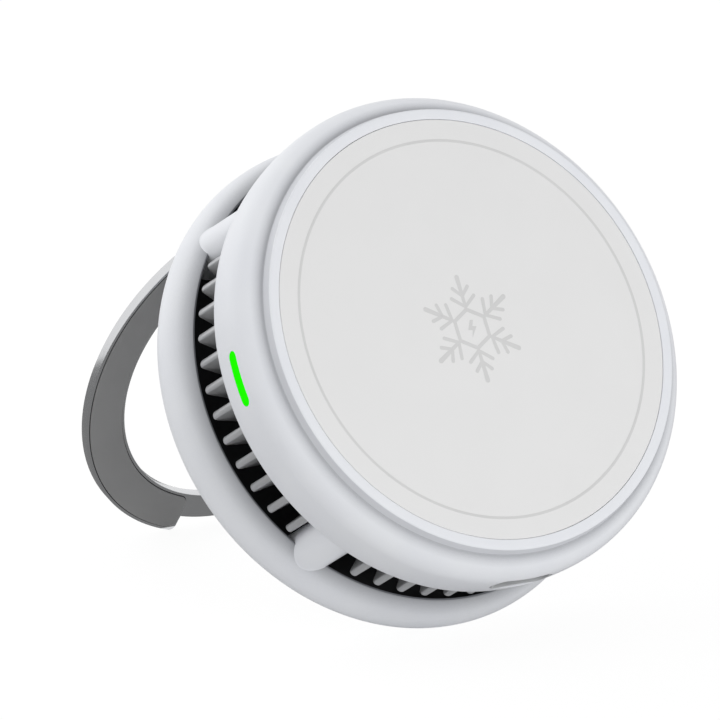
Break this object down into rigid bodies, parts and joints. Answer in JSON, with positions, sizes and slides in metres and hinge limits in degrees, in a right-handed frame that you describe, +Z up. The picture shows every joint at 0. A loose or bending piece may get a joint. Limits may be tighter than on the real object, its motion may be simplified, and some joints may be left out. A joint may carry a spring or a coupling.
{
  "type": "cooling wireless charger",
  "caption": "Round magnetic wireless charger with a cooled charging face, a finned side vent, a fan and a folding ring stand, standing as an easel.",
  "frame": {"origin": "on the floor, under the middle of the standing charger's bounding box", "axes": "+X to the charger's right as seen from its face, +Y away from the person who faces it, +Z up; the face looks toward -Y and leans back 32.8 degrees"},
  "size_m": [0.0648, 0.0726, 0.0653],
  "materials": {
    "face_glass": "satin, printed from behind",
    "white_plastic": "semi-gloss",
    "light_pipe_plastic": "lit green, translucent",
    "port_steel": "satin",
    "port_plastic": "matte",
    "magnet_nickel": "nickel plated",
    "coil_copper": "enamelled copper",
    "ferrite": "sintered",
    "cold_plate_aluminium": "milled",
    "ceramic": "fired",
    "foam": "open cell",
    "board": "solder mask",
    "sink_aluminium": "die cast, bead blasted",
    "core_steel": "laminated",
    "fan_plastic": "moulded",
    "shaft_steel": "ground",
    "grille_plastic": "fine texture",
    "ring_metal": "polished",
    "pad_rubber": "matte",
    "pin_steel": "ground"
  },
  "bodies": {
    "housing": {"face_plate": "face_glass", "front_shell": "white_plastic", "light_pipe": "light_pipe_plastic", "usb_c_shell": "port_steel", "usb_c_tongue": "port_plastic", "magnet_ring": "magnet_nickel", "charging_coil": "coil_copper", "ferrite_shield": "ferrite", "cold_plate": "cold_plate_aluminium", "thermoelectric_module": "ceramic", "foam_frame": "foam", "circuit_board": "board", "heat_sink": "sink_aluminium", "rear_shell": "white_plastic", "stator_core": "core_steel", "stator_windings": "coil_copper", "intake_grille": "grille_plastic", "hinge_pin": "pin_steel"},
    "fan": {"fan_impeller": "fan_plastic", "fan_shaft": "shaft_steel"},
    "stand": {"stand_ring": "ring_metal", "stand_pad": "pad_rubber"}
  },
  "joints": [
    {"name": "fan_spin", "type": "hinge", "parent": "housing", "child": "fan", "pos_m": [0, -0.0027, 0.02886], "axis": [0, -0.8403, 0.5421], "continuous": true},
    {"name": "stand_hinge", "type": "hinge", "parent": "housing", "child": "stand", "pos_m": [0, 0.01682, 0.05072], "axis": [1, 0, 0], "range_deg": [-53.1, 36.9]}
  ]
}
